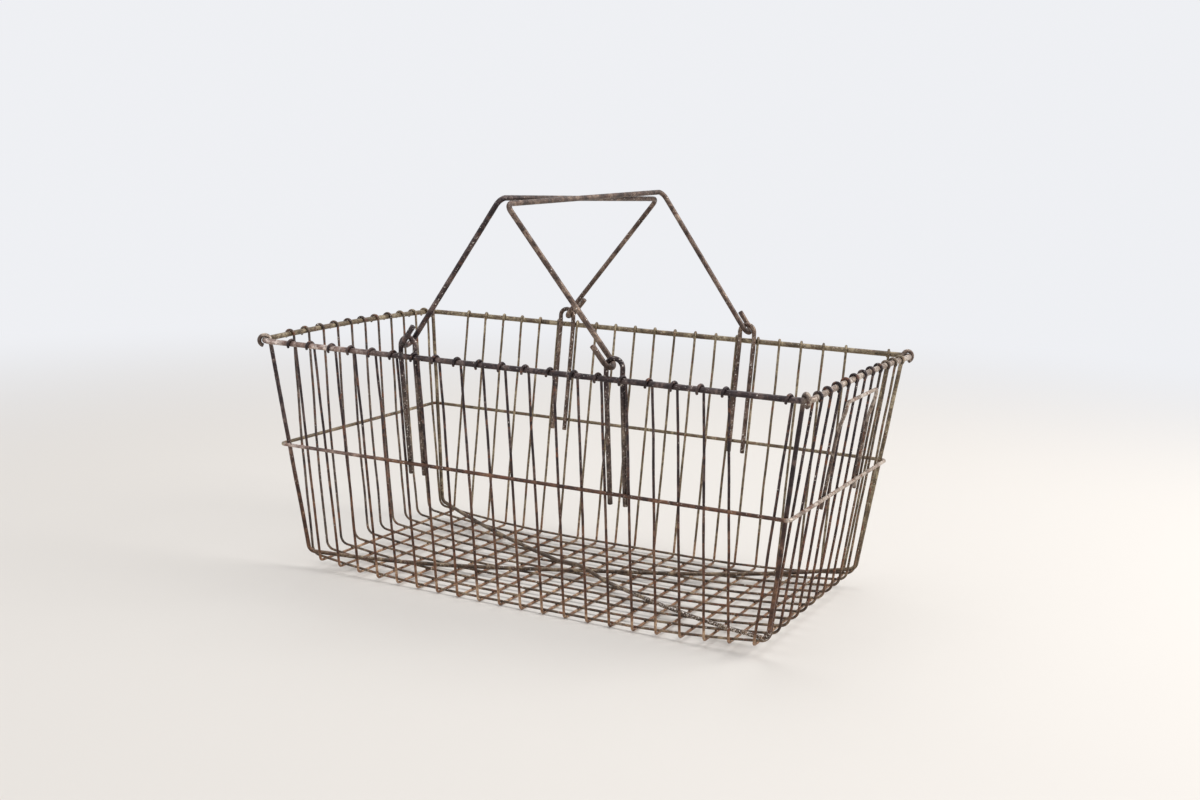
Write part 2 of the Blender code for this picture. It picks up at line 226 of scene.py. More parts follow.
def place_camera():
    """The camera, turned by its yaw, then its pitch, then its roll."""
    forward = Vector(
        (
            -math.sin(CAMERA_YAW) * math.cos(CAMERA_PITCH),
            math.cos(CAMERA_YAW) * math.cos(CAMERA_PITCH),
            -math.sin(CAMERA_PITCH),
        )
    )
    level = Vector((math.cos(CAMERA_YAW), math.sin(CAMERA_YAW), 0))
    upright = level.cross(forward)
    right = level * math.cos(CAMERA_ROLL) + upright * math.sin(CAMERA_ROLL)
    up = upright * math.cos(CAMERA_ROLL) - level * math.sin(CAMERA_ROLL)
    data = bpy.data.cameras.new("camera")
    data.sensor_fit = "HORIZONTAL"
    data.sensor_width = SENSOR_WIDTH
    data.lens = CAMERA_LENS
    data.clip_start = NEAR_CLIP
    data.clip_end = FAR_CLIP
    camera = bpy.data.objects.new("camera", data)
    bpy.context.scene.collection.objects.link(camera)
    turn = Matrix((right, up, -forward)).transposed().to_4x4()
    camera.matrix_world = Matrix.Translation(CAMERA_PLACE) @ turn
    bpy.context.scene.camera = camera


place_camera()


# Paths
def rounded(corners, radii):
    """The path through corners, with each inner corner rounded by its radius."""
    path = [corners[0]]
    for before, corner, after, radius in zip(corners, corners[1:], corners[2:], radii):
        if radius == 0:
            path.append(corner)
            continue
        back = (before - corner).normalized()
        on = (after - corner).normalized()
        turn = math.pi - back.angle(on)
        reach = radius * math.tan(turn / 2)
        centre = corner + (back + on).normalized() * (radius / math.cos(turn / 2))
        first = corner + back * reach - centre
        last = corner + on * reach - centre
        count = max(1, math.ceil(turn / BEND_STEP - 1e-6))
        for n in range(count + 1):
            part = turn * n / count
            path.append(
                centre
                + (first * math.sin(turn - part) + last * math.sin(part))
                / math.sin(turn)
            )
    path.append(corners[-1])
    return path


def hoop(length, width, height, radius, steps):
    """A closed level rectangle with rounded corners."""
    path = []
    for quarter in range(4):
        angle = quarter * math.pi / 2
        x = (length / 2 - radius) * (1 if quarter in (0, 3) else -1)
        y = (width / 2 - radius) * (1 if quarter in (0, 1) else -1)
        for n in range(steps + 1):
            turn = angle + math.pi / 2 * n / steps
            path.append(
                Vector((x + radius * math.cos(turn), y + radius * math.sin(turn), height))
            )
    return path


def hook(rim_point, outward, along, radius, wrap):
    """A hook from its free end under the rim, over the top, to the inner side."""
    count = math.ceil(wrap / HOOK_STEP)
    path = []
    for n in range(count, -1, -1):
        angle = wrap * n / count
        path.append(
            rim_point
            - outward * (radius * math.cos(angle))
            + Vector((0, 0, radius * math.sin(angle)))
            + along * (0.5 - n / count)
        )
    return path


def blend(low, high, z):
    """The point at height z on the line from low to high."""
    return low + (high - low) * ((z - low.z) / (high.z - low.z))


# Wires as meshes

# a direction that no wire starts along
CROSS_START = (0.3, 0.5, 0.81)
# rings that round off a cut end: how far out they lie and how wide they are, in radii
END_RINGS = ((0.05, 0.93), (0.16, 0.72))
# shortest and longest waves in a wire's path and in its radius
STRAY_WAVES = (0.05, 0.30)
SWELL_WAVES = (0.006, 0.03)
WAVE_COUNT = 5
# a straying wire is held over these lengths below the rim and above the table, and its
# stray grows over the fade length from there and from the band
HOLD_BELOW_RIM = 0.008
HOLD_ABOVE_TABLE = 0.014
HOLD_FADE = 0.03


def dense(path, closed):
    """The path with its long straight parts divided."""
    points = list(path)
    if closed:
        points.append(points[0])
    out = []
    for a, b in zip(points, points[1:]):
        pieces = max(1, math.ceil((b - a).length / RING_SPACING))
        out += [a.lerp(b, n / pieces) for n in range(pieces)]
    if not closed:
        out.append(points[-1])
    return np.array([tuple(p) for p in out])


def waves(lengths, rng, shortest, longest):
    """A smooth random curve along a wire, between about -1 and 1."""
    total = np.zeros_like(lengths)
    for _ in range(WAVE_COUNT):
        period = shortest * (longest / shortest) ** rng.random()
        total += math.sqrt(period / longest) * np.sin(
            2 * math.pi * (lengths / period + rng.random())
        )
    return total / math.sqrt(WAVE_COUNT)


def freedom(points):
    """How freely a wire strays at each point: 0 at the rim, band and floor, up to 1."""
    z = points[:, 2]
    top = np.clip((RIM_HEIGHT - HOLD_BELOW_RIM - z) / HOLD_FADE, 0, 1)
    low = np.clip((z - HOLD_ABOVE_TABLE) / HOLD_FADE, 0, 1)
    band = np.clip(np.abs(z - BAND_HEIGHT) / HOLD_FADE, 0, 1)
    return top * low * band


def directions(points, closed):
    """The unit direction of the path at each point."""
    ahead = np.roll(points, -1, axis=0) - points
    behind = points - np.roll(points, 1, axis=0)
    if not closed:
        ahead[-1] = behind[-1]
        behind[0] = ahead[0]
    tangents = ahead / np.linalg.norm(ahead, axis=1)[:, None]
    tangents += behind / np.linalg.norm(behind, axis=1)[:, None]
    return tangents / np.linalg.norm(tangents, axis=1)[:, None]


def crossways(tangents, closed):
    """Two directions across the wire at each point, carried along without twist."""
    normal = np.cross(tangents[0], CROSS_START)
    normals = []
    for tangent in tangents:
        normal = normal - tangent * np.dot(normal, tangent)
        normal /= np.linalg.norm(normal)
        normals.append(normal)
    normals = np.array(normals)
    others = np.cross(tangents, normals)
    if closed:
        # the turn left between the last ring and the first is shared out
        carried = normals[-1] - tangents[0] * np.dot(normals[-1], tangents[0])
        left = math.atan2(np.dot(carried, others[0]), np.dot(carried, normals[0]))
        turns = -left * np.arange(len(tangents)) / len(tangents)
        cos = np.cos(turns)[:, None]
        sin = np.sin(turns)[:, None]
        normals, others = normals * cos + others * sin, others * cos - normals * sin
    return normals, others


def end_rings(point, outward, normal, other, radius):
    """The worn edge of a cut end, from the wire outward."""
    return [
        (point + outward * out * radius, normal, other, wide * radius)
        for out, wide in END_RINGS
    ]


def tube(name, rings, sides, closed):
    """A mesh through rings, each given by its centre, two directions and a radius."""
    angles = 2 * math.pi * np.arange(sides) / sides
    verts = np.concatenate(
        [
            at + radius * (np.cos(angles)[:, None] * n + np.sin(angles)[:, None] * o)
            for at, n, o, radius in rings
        ]
    )
    faces = []
    spans = len(rings) if closed else len(rings) - 1
    for k in range(spans):
        a = k * sides
        b = (k + 1) % len(rings) * sides
        for j in range(sides):
            i = (j + 1) % sides
            faces.append((a + j, a + i, b + i, b + j))
    if not closed:
        faces.append(tuple(range(sides))[::-1])
        faces.append(tuple(range((len(rings) - 1) * sides, len(rings) * sides)))
    mesh = bpy.data.meshes.new(name)
    mesh.from_pydata(verts.tolist(), [], faces)
    mesh.polygons.foreach_set("use_smooth", [len(face) == 4 for face in faces])
    return mesh


def piece(name, mesh, body, node, material):
    """A visible piece that moves with body and stands for node, where it has one."""
    mesh.materials.append(material)
    obj = bpy.data.objects.new(name, mesh)
    bpy.context.scene.collection.objects.link(obj)
    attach(obj, body)
    if node:
        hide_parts(node)


def wire(node, path, diameter, body, material, sides, swell, stray=0.0, closed=False):
    """A round wire along path in place of node.

    swell is how uneven its radius is, as a share, and stray how far it leaves the path.
    """
    name = node + "_wire"
    rng = random.Random(name)
    points = dense(path, closed)
    step = np.linalg.norm(np.diff(points, axis=0), axis=1)
    lengths = np.concatenate([[0], np.cumsum(step)])
    if stray:
        bends = np.stack([waves(lengths, rng, *STRAY_WAVES) for _ in range(3)], axis=1)
        points = points + stray * freedom(points)[:, None] * bends
    tangents = directions(points, closed)
    normals, others = crossways(tangents, closed)
    radius = diameter / 2
    radii = radius * (1 + swell * waves(lengths, rng, *SWELL_WAVES))
    rings = list(zip(points, normals, others, radii))
    if not closed:
        start = end_rings(points[0], -tangents[0], normals[0], others[0], radius)
        end = end_rings(points[-1], tangents[-1], normals[-1], others[-1], radius)
        rings = start[::-1] + rings + end
    piece(name, tube(name, rings, sides, closed), body, node, material)


# Materials
def tone(red, green, blue):
    """A colour given as 8-bit screen values, in linear light."""
    return tuple(
        c / 12.92 if c <= 0.04045 else ((c + 0.055) / 1.055) ** 2.4
        for c in (red / 255, green / 255, blue / 255)
    )


# Noise of the steel: cycles per metre, detail, roughness and distortion
PATCHES = (95, 5, 0.66, 0.5)
RUST_SPOTS = (190, 6, 0.72, 0.8)
SPECKLE = (520, 4, 0.70, 0.0)
GLINTS = (780, 3, 0.60, 0.0)
PORES = (1500, 3, 0.60, 0.0)

# Levels of the noise at which something changes, and what it changes to
PATINA_LEVELS = (0.34, 0.50, 0.64)
SPECKLE_SHADES = ((0.38, 0.45), (0.50, 1.0), (0.64, 1.45))
SPECKLE_SHARE = 0.75
DULL_LEVELS = (0.35, 0.65)
RUST_LEVEL = 0.62  # where rust begins with a share of 0, and how far a share of 1 lowers it
RUST_DROP = 0.20
RUST_FADE = 0.07
METAL_FADE = 0.05
RUST_METAL = 0.3  # how much of its metallic value the steel keeps under rust
GLINT_LEVEL = 0.72  # where glints begin without sparkle, and how far sparkle lowers it
GLINT_DROP = 0.17
GLINT_FADE = 0.02
GLINT_COLOUR = tone(226, 218, 208)
GLINT_ROUGHNESS = (0.28, 0.28, 0.28)
GLINT_METAL = (0.9, 0.9, 0.9)
PORE_SHARE = 0.85
PIT_STRENGTH = 0.35
PIT_DEPTH = 0.0005

# Sockets of a Mix node that mixes colours
MIX_FACTOR = 0
MIX_A = 6
MIX_B = 7
MIX_RESULT = 2


def steel(name, base, zones, rust, rust_share, metal, rough, sparkle, seed, bright=()):
    """Aged steel in object space: patina, speckle, rust spots, worn glints and pits.

    base holds the stops of the patina, dark to light. Each of zones holds (axis, start,
    end, stops): other stops, which fade in from start to end along the axis. rough holds
    the least and the greatest roughness. bright holds the (axis, start, end) that bound
    the worn glints, where they don't lie all over.
    """
    material = bpy.data.materials.new(name)
    material.use_nodes = True
    tree = material.node_tree
    shader = tree.nodes["Principled BSDF"]

    def node(kind, **values):
        made = tree.nodes.new(kind)
        for key, value in values.items():
            setattr(made, key, value)
        return made

    def link(a, b):
        tree.links.new(a, b)

    coords = node("ShaderNodeTexCoord")
    axes = node("ShaderNodeSeparateXYZ")
    link(coords.outputs["Object"], axes.inputs["Vector"])
    # the noise is moved by the seed, so that no two steels have the same spots
    move = node("ShaderNodeMapping")
    move.inputs["Location"].default_value = (seed, seed * 0.7, seed * 1.3)
    link(coords.outputs["Object"], move.inputs["Vector"])

    def noise(size, detail, roughness, distortion):
        made = node("ShaderNodeTexNoise")
        made.inputs["Scale"].default_value = size
        made.inputs["Detail"].default_value = detail
        made.inputs["Roughness"].default_value = roughness
        made.inputs["Distortion"].default_value = distortion
        link(move.outputs["Vector"], made.inputs["Vector"])
        return made.outputs["Fac"]

    def ramp(source, points):
        made = node("ShaderNodeValToRGB")
        band = made.color_ramp
        while len(band.elements) < len(points):
            band.elements.new(0.5)
        for element, (place, colour) in zip(band.elements, points):
            element.position = place
            if not isinstance(colour, tuple):
                colour = (colour, colour, colour)
            element.color = (*colour, 1)
        link(source, made.inputs["Fac"])
        return made.outputs["Color"]

    def mix(factor, a, b, blend_type="MIX"):
        made = node("ShaderNodeMix", data_type="RGBA", blend_type=blend_type)
        for socket, source in ((MIX_FACTOR, factor), (MIX_A, a), (MIX_B, b)):
            if isinstance(source, float):
                made.inputs[socket].default_value = source
            elif isinstance(source, tuple):
                made.inputs[socket].default_value = (*source, 1)
            else:
                link(source, made.inputs[socket])
        return made.outputs[MIX_RESULT]

    def along(axis, start, end):
        """0 before start and 1 past end along an axis of the object."""
        made = node("ShaderNodeMapRange", clamp=True)
        made.inputs["From Min"].default_value = start
        made.inputs["From Max"].default_value = end
        link(axes.outputs[axis], made.inputs["Value"])
        return made.outputs["Result"]

    patches = noise(*PATCHES)
    speckle = noise(*SPECKLE)
    spots = noise(*RUST_SPOTS)

    # Colour: patina by zones, speckled, under rust
    patina = ramp(patches, list(zip(PATINA_LEVELS, base)))
    for axis, start, end, stops in zones:
        own = ramp(patches, list(zip(PATINA_LEVELS, stops)))
        patina = mix(along(axis, start, end), patina, own)
    shaded = mix(SPECKLE_SHARE, patina, ramp(speckle, SPECKLE_SHADES), "MULTIPLY")
    rust_edge = RUST_LEVEL - RUST_DROP * rust_share
    rusty = ramp(spots, [(rust_edge, 0.0), (rust_edge + RUST_FADE, 1.0)])
    coloured = mix(rusty, shaded, rust)

    # Worn glints over all of it
    glint_edge = GLINT_LEVEL - GLINT_DROP * sparkle
    glint = ramp(noise(*GLINTS), [(glint_edge, 0.0), (glint_edge + GLINT_FADE, 1.0)])
    for bound in bright:
        glint = mix(1.0, glint, along(*bound), "MULTIPLY")
    dulled = ramp(speckle, list(zip(DULL_LEVELS, rough)))
    plain = ramp(
        spots, [(rust_edge - METAL_FADE, metal), (rust_edge + METAL_FADE, metal * RUST_METAL)]
    )
    link(mix(glint, coloured, GLINT_COLOUR), shader.inputs["Base Color"])
    link(mix(glint, dulled, GLINT_ROUGHNESS), shader.inputs["Roughness"])
    link(mix(glint, plain, GLINT_METAL), shader.inputs["Metallic"])

    # Pits
    bump = node("ShaderNodeBump")
    bump.inputs["Strength"].default_value = PIT_STRENGTH
    bump.inputs["Distance"].default_value = PIT_DEPTH
    link(mix(PORE_SHARE, speckle, noise(*PORES), "OVERLAY"), bump.inputs["Height"])
    link(bump.outputs["Normal"], shader.inputs["Normal"])
    return material


# Patina stops, dark to light, read from each part of the basket; the light taupe is their own
# tone lightened with painted light, for parts that face the light from the right
PURPLE = (tone(33, 24, 26), tone(52, 40, 41), tone(104, 88, 83))
RED_BROWN = (tone(50, 33, 26), tone(84, 56, 42), tone(130, 96, 73))
OLIVE = (tone(78, 66, 50), tone(116, 101, 79), tone(162, 148, 122))
GREY = (tone(50, 40, 38), tone(82, 69, 62), tone(126, 111, 97))
RUST_TAN = (tone(104, 73, 50), tone(145, 110, 84), tone(186, 158, 130))
GREEN_BROWN = (tone(52, 42, 33), tone(90, 73, 57), tone(150, 132, 108))
# own taupe, lightened with painted light: used only on parts that face the light from the
# right
LIT_SIDE_TAUPE = (tone(112, 96, 86), tone(162, 146, 132), tone(206, 194, 182))
PINK_BROWN = (tone(86, 66, 60), tone(144, 120, 110), tone(218, 202, 192))
MOTTLED = (tone(48, 38, 35), tone(98, 82, 72), tone(178, 164, 150))
DARK_TAUPE = (tone(52, 40, 34), tone(92, 74, 64), tone(142, 122, 106))

RUST = tone(112, 66, 40)
DEEP_RUST = tone(80, 48, 34)

# Zones that several steels share
LOWER_WALL = ("Z", 0.125, 0.055, RED_BROWN)
BACK_WALL = ("Y", -0.02, 0.10, OLIVE)
CORNER_ZONES = [
    LOWER_WALL,
    ("Y", -0.02, 0.09, OLIVE),
    ("Z", 0.020, 0.012, GREEN_BROWN),
    ("Z", 0.176, 0.184, MOTTLED),
]

long_rib_steel = steel(
    "long_rib_steel",
    PURPLE,
    [LOWER_WALL, BACK_WALL, ("Z", 0.020, 0.011, RUST_TAN)],
    rust=RUST, rust_share=0.30, metal=0.42, rough=(0.34, 0.58), sparkle=0.15, seed=1.3,
)
short_rib_steel = steel(
    "short_rib_steel",
    PURPLE,
    [
        ("Z", 0.135, 0.05, RED_BROWN),
        ("X", -0.17, -0.195, GREY),
        ("Y", 0.02, 0.11, OLIVE),
        ("Z", 0.022, 0.013, GREEN_BROWN),
    ],
    rust=RUST, rust_share=0.40, metal=0.40, rough=(0.36, 0.60), sparkle=0.30, seed=4.1,
)
rim_steel = steel(
    "rim_steel",
    PURPLE,
    [
        ("X", -0.09, -0.15, PINK_BROWN),
        BACK_WALL,
        ("X", -0.2195, -0.223, OLIVE),
        # the right-hand end of the rim: lighter taupe, partly painted light on the side that
        # faces the light from the right
        ("X", 0.2195, 0.223, LIT_SIDE_TAUPE),
    ],
    rust=DEEP_RUST, rust_share=0.32, metal=0.45, rough=(0.30, 0.54), sparkle=0.30, seed=7.7,
)
band_steel = steel(
    "band_steel",
    RED_BROWN,
    [
        ("X", -0.11, -0.19, PINK_BROWN),
        BACK_WALL,
        ("X", -0.2085, -0.2105, OLIVE),
        ("X", 0.2085, 0.2105, LIT_SIDE_TAUPE),
    # the right-hand side of the band: lighter taupe, partly painted light on the side that
    # faces the light from the right
    ],
    rust=RUST, rust_share=0.38, metal=0.42, rough=(0.34, 0.58), sparkle=0.30, seed=9.2,
)
corner_steel = steel(
    "corner_steel",
    PURPLE,
    CORNER_ZONES,
    rust=DEEP_RUST, rust_share=0.34, metal=0.45, rough=(0.32, 0.56), sparkle=0.30, seed=12.4,
)
worn_corner_steel = steel(
    "worn_corner_steel",
    PURPLE,
    CORNER_ZONES,
    rust=DEEP_RUST, rust_share=0.34, metal=0.45, rough=(0.32, 0.56), sparkle=1.0, seed=12.4,
    bright=[("Z", 0.024, 0.018), ("X", 0.03, 0.10)],
)
loop_steel = steel(
    "loop_steel",
    GREY,
    [("Z", 0.150, 0.175, PURPLE), ("Y", -0.02, 0.08, DARK_TAUPE)],
    rust=DEEP_RUST, rust_share=0.30, metal=0.55, rough=(0.28, 0.50), sparkle=0.55, seed=15.8,
)
bracket_steel = steel(
    "bracket_steel",
    MOTTLED,
    # the top bar: lighter taupe, partly painted light, as it faces up towards the light from
    # the right
    [("Z", 0.150, 0.166, LIT_SIDE_TAUPE)],
    rust=RUST, rust_share=0.32, metal=0.42, rough=(0.34, 0.58), sparkle=0.35, seed=18.3,
)
left_handle_steel = steel(
    "left_handle_steel",
    PURPLE,
    [("Y", -0.105, -0.06, DARK_TAUPE)],
    rust=DEEP_RUST, rust_share=0.34, metal=0.48, rough=(0.30, 0.52), sparkle=0.40, seed=21.6,
)
right_handle_steel = steel(
    "right_handle_steel",
    DARK_TAUPE,
    [],
    rust=DEEP_RUST, rust_share=0.36, metal=0.45, rough=(0.32, 0.54), sparkle=0.20, seed=23.9,
)
weld_steel = steel(
    "weld_steel",
    MOTTLED,
    [],
    rust=RUST, rust_share=0.34, metal=0.50, rough=(0.34, 0.60), sparkle=0.50, seed=25.1,
)


# Rim and band
def bow(y):
    """How far the short sides of the rim rise at y."""
    return END_BOW * (1 - (y / rim_y) ** 2)


def divided(path, step):
    """The closed path with its straight parts divided."""
    out = []
    for start, end in zip(path, path[1:] + path[:1]):
        count = max(1, round((end - start).length / step))
        out += [start.lerp(end, n / count) for n in range(count)]
    return out


rim_path = divided(
    hoop(RIM_LENGTH, RIM_WIDTH, RIM_HEIGHT, RIM_CORNER_RADIUS, RIM_CORNER_STEPS), BOW_STEP
)
for point in rim_path:
    if abs(point.x) > rim_x - RIM_CORNER_RADIUS:
        point.z += bow(point.y)
wire("rim_hoop", rim_path, RIM_WIRE, "basket", rim_steel,
     sides=20, swell=0.02, closed=True)

band_outset = RIB_WIRE / 2 + GAP + BAND_WIRE / 2 - BAND_SINK
band_x = side_x(BAND_HEIGHT) + band_outset
band_y = wall_y(BAND_HEIGHT) + band_outset
band_path = hoop(2 * band_x, 2 * band_y, BAND_HEIGHT, BAND_CORNER_RADIUS, BAND_CORNER_STEPS)
for point in band_path:
    if point.x < 0:
        point.x -= LEFT_BULGE
wire("mid_band", band_path, BAND_WIRE, "basket", band_steel,
     sides=16, swell=0.03, closed=True)

# Long ribs
rib_hook_radius = RIM_WIRE / 2 + SEAT + RIB_WIRE / 2
front_hooks = spread(
    FRONT_HOOK_INSET_LEFT - rim_x, rim_x - FRONT_HOOK_INSET_RIGHT, LONG_RIB_COUNT - 1
) + [rim_x - FRONT_LAST_HOOK_INSET]
front_hooks = [x + slip / 1000 for x, slip in zip(front_hooks, FRONT_SLIPS)]
back_hooks = spread(
    BACK_HOOK_INSET_LEFT - rim_x, rim_x - BACK_HOOK_INSET_RIGHT, LONG_RIB_COUNT - 1
) + [rim_x - BACK_LAST_HOOK_INSET]
front_feet = spread(
    FRONT_FLOOR_INSET - leg_foot_x, leg_foot_x - FRONT_FLOOR_INSET, LONG_RIB_COUNT
)
back_feet = spread(
    BACK_FLOOR_INSET_LEFT - leg_foot_x, leg_foot_x - BACK_FLOOR_INSET_RIGHT, LONG_RIB_COUNT
)


def random_wrap(rng):
    """The turn of one rib's hook round the rim."""
    return math.radians(rng.uniform(*RIB_WRAPS))


def long_rib_foot(number, side):
    """Bottom corner of a long rib; side is -1 at the front and 1 at the back."""
    x = (front_feet if side < 0 else back_feet)[number - 1]
    z = long_rib_height + rise(x)
    return Vector((x, side * wall_y(z), z))


def long_rib_top(number, side):
    """Where the leg of a long rib meets its hook."""
    x = (front_hooks if side < 0 else back_hooks)[number - 1]
    return Vector((x + HOOK_SHIFT / 2, side * (rim_y - rib_inset), RIM_HEIGHT))


def long_rib_hook(number, side, wrap):
    x = (front_hooks if side < 0 else back_hooks)[number - 1]
    return hook(
        Vector((x, side * rim_y, RIM_HEIGHT)),
        Vector((0, side, 0)),
        Vector((HOOK_SHIFT, 0, 0)),
        rib_hook_radius,
        wrap,
    )


for number in range(1, LONG_RIB_COUNT + 1):
    rng = random.Random(LONG_WRAP_SEED + number)
    front = long_rib_hook(number, -1, random_wrap(rng))
    back = long_rib_hook(number, 1, random_wrap(rng))
    below = rounded(
        [front[-1], long_rib_foot(number, -1), long_rib_foot(number, 1), back[-1]],
        [LONG_RIB_BEND_RADIUS, LONG_RIB_BEND_RADIUS],
    )
    wire(f"long_rib_{number:02d}", front[:-1] + below + back[-2::-1], RIB_WIRE,
         "basket", long_rib_steel, sides=10, swell=0.04, stray=RIB_STRAY)

# Short ribs
left_hooks = spread(
    LEFT_HOOK_INSET_FRONT - rim_y, rim_y - LEFT_HOOK_INSET_BACK, SHORT_RIB_COUNT
)
right_hooks = spread(
    RIGHT_HOOK_INSET_FRONT - rim_y, rim_y - RIGHT_HOOK_INSET_BACK, SHORT_RIB_COUNT
)
long_bend_turn = math.pi / 2 - math.atan(wall_slope)
outer_short_rib = wall_y(long_rib_height) - LONG_RIB_BEND_RADIUS * math.tan(long_bend_turn / 2)
short_rib_ys = spread(-outer_short_rib, outer_short_rib, SHORT_RIB_COUNT)
rise_places = spread(FLOOR_FLAT_LENGTH / 2, FLOOR_LENGTH / 2, RISE_STEPS + 1)[:-1]


def short_rib_foot(number, side):
    """Bottom corner of a short rib; side is -1 at the left and 1 at the right."""
    return Vector((side * leg_foot_x, short_rib_ys[number - 1], leg_foot_z))


def short_rib_hook(number, side, wrap=RIB_WRAP):
    y = (left_hooks if side < 0 else right_hooks)[number - 1]
    return hook(
        Vector((side * rim_x, y, RIM_HEIGHT + bow(y))),
        Vector((side, 0, 0)),
        Vector((0, HOOK_SHIFT, 0)),
        rib_hook_radius,
        wrap,
    )


def short_rib_at_band(number, side):
    """Where a short rib's leg meets the band."""
    at = blend(short_rib_foot(number, side), short_rib_hook(number, side)[-1], BAND_HEIGHT)
    if side < 0:
        at.x = -side_x(BAND_HEIGHT) - LEFT_BULGE
    return at


for number in range(1, SHORT_RIB_COUNT + 1):
    rng = random.Random(SHORT_WRAP_SEED + number)
    left = short_rib_hook(number, -1, random_wrap(rng))
    right = short_rib_hook(number, 1, random_wrap(rng))
    y = short_rib_ys[number - 1]
    floor_xs = [-x for x in reversed(rise_places)] + rise_places
    corners = (
        [left[-1], short_rib_at_band(number, -1), short_rib_foot(number, -1)]
        + [Vector((x, y, short_rib_height + rise(x))) for x in floor_xs]
        + [short_rib_foot(number, 1), right[-1]]
    )
    radii = (
        [LEFT_BULGE_RADIUS, SHORT_RIB_BEND_RADIUS]
        + [0] * len(floor_xs)
        + [SHORT_RIB_BEND_RADIUS]
    )
    wire(f"short_rib_{number:02d}", left[:-1] + rounded(corners, radii) + right[-2::-1],
         RIB_WIRE, "basket", short_rib_steel, sides=10, swell=0.04,
         stray=RIB_STRAY)

# Corner wires: the second one steps over the first in the middle of the floor
corner_inset = RIM_CORNER_RADIUS * (1 - math.sqrt(0.5))
corner_foot_x = CORNER_FOOT_LENGTH / 2
corner_foot_y = CORNER_FOOT_WIDTH / 2
corner_foot_z = corner_wire_height + rise(corner_foot_x)
step_over = CORNER_WIRE + GAP


def rim_corner_hook(right, back):
    """Hook at one rim corner; each argument is -1 or 1."""
    place = Vector((right * (rim_x - corner_inset), back * (rim_y - corner_inset), RIM_HEIGHT))
    outward = Vector((right, back, 0)).normalized()
    return hook(place, outward, Vector((0, 0, 0)), CORNER_HOOK_RADIUS, CORNER_WRAP)


def add_corner_wire(node, back_side, over, material):
    """back_side is the side of Y on which the right-hand end lies."""
    left = rim_corner_hook(-1, -back_side)
    right = rim_corner_hook(1, back_side)
    slope = back_side * corner_foot_y / corner_foot_x
    half = [(x, 0.0) for x in rise_places]
    if over:
        half = [(CROSSING_TOP_LENGTH / 2, step_over), (CROSSING_RAMP_LENGTH, 0.0)] + half
    floor = [(-x, lift) for x, lift in reversed(half)] + half
    corners = (
        [left[-1], Vector((-corner_foot_x, -corner_foot_x * slope, corner_foot_z))]
        + [Vector((x, x * slope, corner_wire_height + rise(x) + lift)) for x, lift in floor]
        + [Vector((corner_foot_x, corner_foot_x * slope, corner_foot_z)), right[-1]]
    )
    radii = [CORNER_FOOT_RADIUS] + [0] * len(floor) + [CORNER_FOOT_RADIUS]
    wire(node, left[:-1] + rounded(corners, radii) + right[-2::-1], CORNER_WIRE,
         "basket", material, sides=16, swell=0.035, stray=CORNER_WIRE_STRAY)


add_corner_wire("corner_wire_a", 1, False, corner_steel)
add_corner_wire("corner_wire_b", -1, True, worn_corner_steel)

# Handle loops
loop_inset = RIM_WIRE / 2 + GAP + LOOP_WIRE / 2
loop_foot_z = BAND_HEIGHT - LOOP_FOOT_DROP
arch_z = RIM_HEIGHT + LOOP_ARCH_RISE


def loop_middle(first_rib, side, z):
    """The point at height z midway between the two ribs beside a loop."""
    legs = [
        blend(long_rib_foot(number, side), long_rib_top(number, side), z)
        for number in (first_rib, first_rib + 1)
    ]
    return (legs[0] + legs[1]) / 2


def arch_radius(first_rib, side):
    """Radius of the arch that fits between the two ribs beside a loop."""
    apart = long_rib_top(first_rib + 1, side).x - long_rib_top(first_rib, side).x
    return apart / 2 - RIB_WIRE / 2 - GAP - LOOP_WIRE / 2 - LOOP_SIDE_PLAY


def add_loop(node, first_rib, side):
    """An upside-down U inside the wall, whose arch stands over the rim."""
    half = arch_radius(first_rib, side)
    top = loop_middle(first_rib, side, RIM_HEIGHT)
    foot = loop_middle(first_rib, side, loop_foot_z)
    top.y = side * (rim_y - loop_inset)
    foot.y = top.y - side * wall_slope * (RIM_HEIGHT - loop_foot_z)
    centre = Vector((top.x, top.y, arch_z))
    arch = [
        centre + half * Vector((-math.cos(angle), 0, math.sin(angle))) for angle in HALF_TURN
    ]
    across_top = Vector((half, 0, 0))
    across_foot = Vector((LOOP_FOOT_SPREAD / 2, 0, 0))
    path = (
        [foot - across_foot, top - across_top] + arch + [top + across_top, foot + across_foot]
    )
    wire(node, path, LOOP_WIRE, "basket", loop_steel, sides=18, swell=0.03)


add_loop("handle_loop_front_left", LOOP_RIB_LEFT, -1)
add_loop("handle_loop_back_left", LOOP_RIB_LEFT, 1)
add_loop("handle_loop_front_right", LOOP_RIB_RIGHT, -1)
add_loop("handle_loop_back_right", LOOP_RIB_RIGHT, 1)

# Handles
bar_offset = (HANDLE_WIRE + GAP) / 2


def handle_pivot(first_rib, side):
    """The middle of a handle's wire where its hook hangs in the arch."""
    room = arch_radius(first_rib, side) - LOOP_WIRE / 2 - HANDLE_PLAY - HANDLE_WIRE / 2
    middle = loop_middle(first_rib, side, RIM_HEIGHT)
    return Vector((middle.x + side * room, side * (rim_y - loop_inset), arch_z))


def handle_end(pivot, corner, side):
    """The hook at one end of a handle, from its tail to the leg's start."""
    inward = Vector((0, -side, 0))
    upward = (corner - pivot - inward * HANDLE_HOOK_RADIUS).normalized()
    centre = pivot + upward * HANDLE_HOOK_RADIUS
    tail = pivot + upward * HANDLE_HOOK_TAIL - inward * HANDLE_HOOK_RADIUS
    bend = [
        centre - HANDLE_HOOK_RADIUS * (inward * math.cos(angle) + upward * math.sin(angle))
        for angle in HALF_TURN
    ]
    return [tail] + bend


